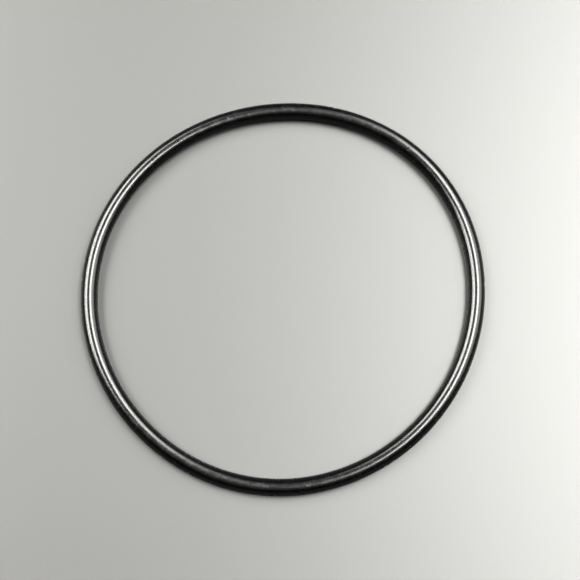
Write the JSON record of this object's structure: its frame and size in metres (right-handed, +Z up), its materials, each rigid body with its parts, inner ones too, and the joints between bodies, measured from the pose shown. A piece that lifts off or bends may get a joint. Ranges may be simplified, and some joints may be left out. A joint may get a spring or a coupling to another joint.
{
  "type": "o-ring",
  "caption": "Black rubber O-ring: a round-section ring seal moulded in one piece, lying flat.",
  "frame": {"origin": "on the ring's axis, on the plane that the ring lies on", "axes": "+Z up along the ring's axis; the ring is a body of revolution, so X and Y are any two directions across it"},
  "size_m": [0.0862, 0.0862, 0.0035],
  "materials": {
    "rubber": "semi-gloss"
  },
  "bodies": {
    "root": {"o_ring": "rubber"}
  },
  "joints": []
}
